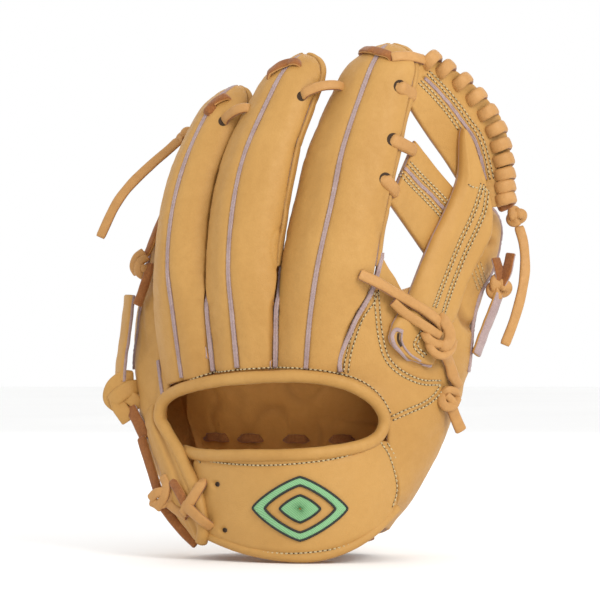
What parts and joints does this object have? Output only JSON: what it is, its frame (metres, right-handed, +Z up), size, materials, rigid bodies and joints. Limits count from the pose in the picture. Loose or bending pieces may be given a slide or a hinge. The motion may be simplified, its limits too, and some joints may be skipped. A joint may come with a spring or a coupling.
{
  "type": "baseball glove",
  "caption": "Left-hand infield baseball glove in tan leather with laced fingertips, a laced web with a centre post, an open back and a padded wrist strap.",
  "frame": {"origin": "middle of the mouth at the heel, where the hand goes in", "axes": "+Z up the fingers, -Y out of the back of the glove, +X toward the thumb"},
  "size_m": [0.2287, 0.1221, 0.2694],
  "materials": {
    "leather": "matte tan cowhide",
    "lining": "soft lining leather",
    "felt": "wool felt",
    "welt": "cut leather edge",
    "lace": "rawhide lace"
  },
  "bodies": {
    "hand": {"ring_back_outer": "leather", "ring_back_inner": "leather", "ring_front": "leather", "ring_welt": "welt", "middle_back_outer": "leather", "middle_back_inner": "leather", "middle_front": "leather", "middle_welt": "welt", "index_back_outer": "leather", "index_back_inner": "leather", "index_front": "leather", "index_welt": "welt", "pinky_ring_welt": "welt", "ring_middle_welt": "welt", "middle_index_welt": "welt", "index_thumb_welt": "welt", "palm": "leather", "palm_pad": "felt", "palm_lining": "lining", "pinky_heel": "leather", "thumb_heel": "leather", "wrist_strap": "leather", "strap_padding": "lining", "opening_binding": "leather", "crotch_patch": "leather", "web_upper_bar": "leather", "web_lower_bar": "leather", "web_whip_lace_index_end": "lace", "index_web_lace_1": "lace", "index_web_lace_2": "lace", "index_web_lace_3": "lace", "fingertip_lace": "lace", "strap_lace": "lace", "strap_lace_knot": "lace", "heel_side_lace": "lace", "heel_lace": "lace"},
    "thumb": {"thumb_back_inner": "leather", "thumb_back_outer": "leather", "thumb_front": "leather", "thumb_welt": "welt", "thumb_stiffener": "felt", "thumb_tip_knot": "lace", "thumb_tip_lace_tail": "lace", "thumb_loop": "lace", "thumb_loop_knot": "lace", "web_post": "leather", "web_thumb_bar": "leather", "web_whip_lace_thumb_end": "lace", "web_base_lace": "lace", "web_base_knot": "lace"},
    "pinky": {"pinky_back_outer": "leather", "pinky_back_inner": "leather", "pinky_front": "leather", "pinky_welt": "welt", "pinky_stiffener": "felt", "pinky_tip_knot": "lace", "pinky_tip_lace_tail": "lace", "pinky_loop": "lace", "pinky_loop_knot": "lace"}
  },
  "joints": [
    {"name": "thumb_close", "type": "hinge", "parent": "hand", "child": "thumb", "pos_m": [0.057, 0.012, 0.106], "axis": [0.2636, 0.1604, 0.9512], "range_deg": [-3, 20]},
    {"name": "pinky_fold", "type": "hinge", "parent": "hand", "child": "pinky", "pos_m": [-0.055, 0.034, 0.089], "axis": [-0.0473, -0.1134, -0.9924], "range_deg": [-3, 14]}
  ]
}
